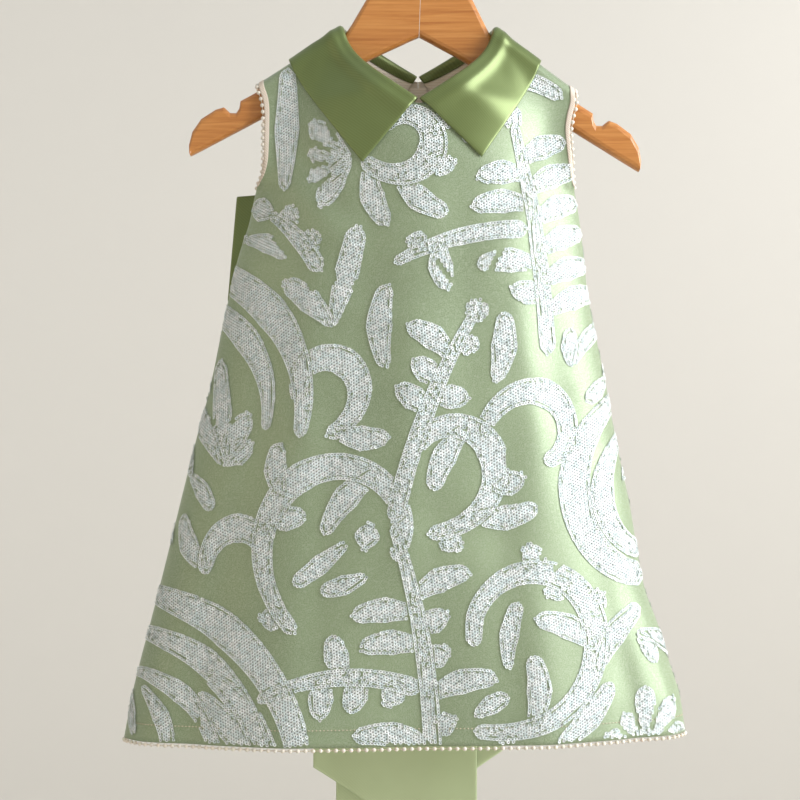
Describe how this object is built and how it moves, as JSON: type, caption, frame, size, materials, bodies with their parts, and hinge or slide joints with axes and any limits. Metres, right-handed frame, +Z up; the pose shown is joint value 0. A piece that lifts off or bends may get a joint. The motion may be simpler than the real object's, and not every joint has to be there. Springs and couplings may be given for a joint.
{
  "type": "sleeveless party dress on a wooden hanger",
  "caption": "Child's sleeveless A-line party dress with a pointed satin collar, a back bow with long tails and pearl edging, on a wooden hanger.",
  "frame": {"origin": "where the inside top of the hanger's hook bears on its rail", "axes": "+Z up; the dress's front faces -Y; +X is to the right of a viewer who looks at the front"},
  "size_m": [0.4169, 0.1369, 0.7624],
  "materials": {
    "sequined_cloth": "sage satin under a net sewn with silver-white sequins",
    "satin": "sage green satin, glossy",
    "lining": "cream lining, matt",
    "pearl": "pearl lustre",
    "thread": "cream thread",
    "wood": "honey varnish, satin",
    "steel": "polished"
  },
  "bodies": {
    "root": {"dress_front": "sequined_cloth", "dress_back_left": "sequined_cloth", "dress_back_right": "sequined_cloth", "collar_left": "satin", "collar_right": "satin", "neck_lining_left": "lining", "neck_lining_right": "lining", "placket": "lining", "button": "pearl", "button_loop": "thread", "armhole_pearls_left": "pearl", "armhole_pearls_right": "pearl", "hem_pearls": "pearl", "bow_loop_left": "satin", "bow_loop_right": "satin", "bow_knot": "satin", "sash_tail_front": "satin", "sash_tail_back": "satin", "hanger_left": "wood", "hanger_right": "wood", "hook_ferrule": "steel", "hanger_hook": "steel"}
  },
  "joints": []
}
